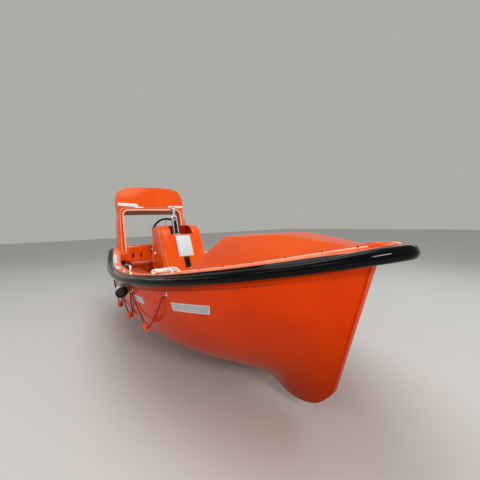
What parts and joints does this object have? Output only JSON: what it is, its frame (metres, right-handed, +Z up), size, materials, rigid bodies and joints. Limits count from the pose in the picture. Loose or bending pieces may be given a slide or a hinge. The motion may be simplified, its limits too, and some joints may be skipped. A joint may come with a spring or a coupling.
{
  "type": "open rescue boat",
  "caption": "Open glass-fibre rescue boat with a keeled round-bilge hull, black rubber fender, raised foredeck, helm console with a lifting hook, aft bench, stern arch and grab lines",
  "frame": {"origin": "on the centre plane at midships, at the waterline", "axes": "+X forward to the stem, +Y to port, +Z up"},
  "size_m": [4.632, 1.9664, 2.018],
  "materials": {
    "gelcoat": "glossy moulded orange gelcoat",
    "deck": "glossy orange gelcoat with a fine non-slip pattern",
    "inner": "darker orange moulding inside the cockpit",
    "rubber": "glossy black fender rubber",
    "steel": "polished stainless steel",
    "bronze": "cast bronze",
    "grey": "grey paint",
    "white": "plain white",
    "black": "black moulded plastic",
    "red": "red paint",
    "rope": "dark red braided rope"
  },
  "bodies": {
    "hull": {"hull_shell": "gelcoat", "transom": "gelcoat", "keel_band": "gelcoat", "foredeck_cover": "gelcoat", "backrest": "gelcoat", "console_body": "gelcoat", "arch": "gelcoat", "gunwale_bow": "deck", "gunwale_stern": "deck", "gunwale_starboard": "deck", "gunwale_port": "deck", "aft_deck": "deck", "floor_panel": "deck", "cockpit_sole": "inner", "liner_starboard": "inner", "liner_port": "inner", "aft_bulkhead": "inner", "aft_bench": "inner", "side_bench_starboard": "inner", "side_bench_port": "inner", "locker_bulkhead": "inner", "fender_bow": "rubber", "fender_stern": "rubber", "fender_starboard": "rubber", "fender_port": "rubber", "hook_post": "steel", "shaft": "steel", "deck_handle_starboard": "steel", "deck_handle_port": "steel", "hinge_pin_starboard": "steel", "hinge_pin_port": "steel", "engine_block": "grey", "side_outlet": "grey", "placard": "white", "strap_roll": "white", "front_strap": "black", "hook_core": "black", "steering_column": "black", "throttle_lever": "black", "grab_line_starboard": "rope", "grab_line_port": "rope"},
    "steering_wheel": {"steering_wheel": "black"},
    "rudder": {"rudder": "grey"},
    "propeller": {"propeller": "bronze"},
    "lifting_hook": {"lifting_hook": "steel"},
    "release_lever": {"release_lever": "red"},
    "locker_door": {"locker_door": "deck"}
  },
  "joints": [
    {"name": "steering", "type": "hinge", "parent": "hull", "child": "steering_wheel", "pos_m": [-1.192, -0.055, 0.808], "axis": [1, 0, 0], "range_deg": [-450, 450]},
    {"name": "rudder_turn", "type": "hinge", "parent": "hull", "child": "rudder", "pos_m": [-1.93, 0, -0.3], "axis": [0, 0, 1], "range_deg": [-35, 35]},
    {"name": "propeller_spin", "type": "hinge", "parent": "hull", "child": "propeller", "pos_m": [-1.7, 0, -0.318], "axis": [1, 0, 0], "continuous": true},
    {"name": "hook_swing", "type": "hinge", "parent": "hull", "child": "lifting_hook", "pos_m": [-0.91216, -0.04, 1.02181], "axis": [0, 1, 0], "range_deg": [-35, 35]},
    {"name": "release_pull", "type": "hinge", "parent": "hull", "child": "release_lever", "pos_m": [-0.8961, 0.002, 0.96193], "axis": [0, 1, 0], "range_deg": [0, 60]},
    {"name": "locker_hinge", "type": "hinge", "parent": "hull", "child": "locker_door", "pos_m": [0.947, 0, 0.336], "axis": [0, 1, 0], "range_deg": [-100, 0]}
  ],
  "couplings": [
    {"joint": "rudder_turn", "follows": "steering", "ratio": 0.077778}
  ]
}
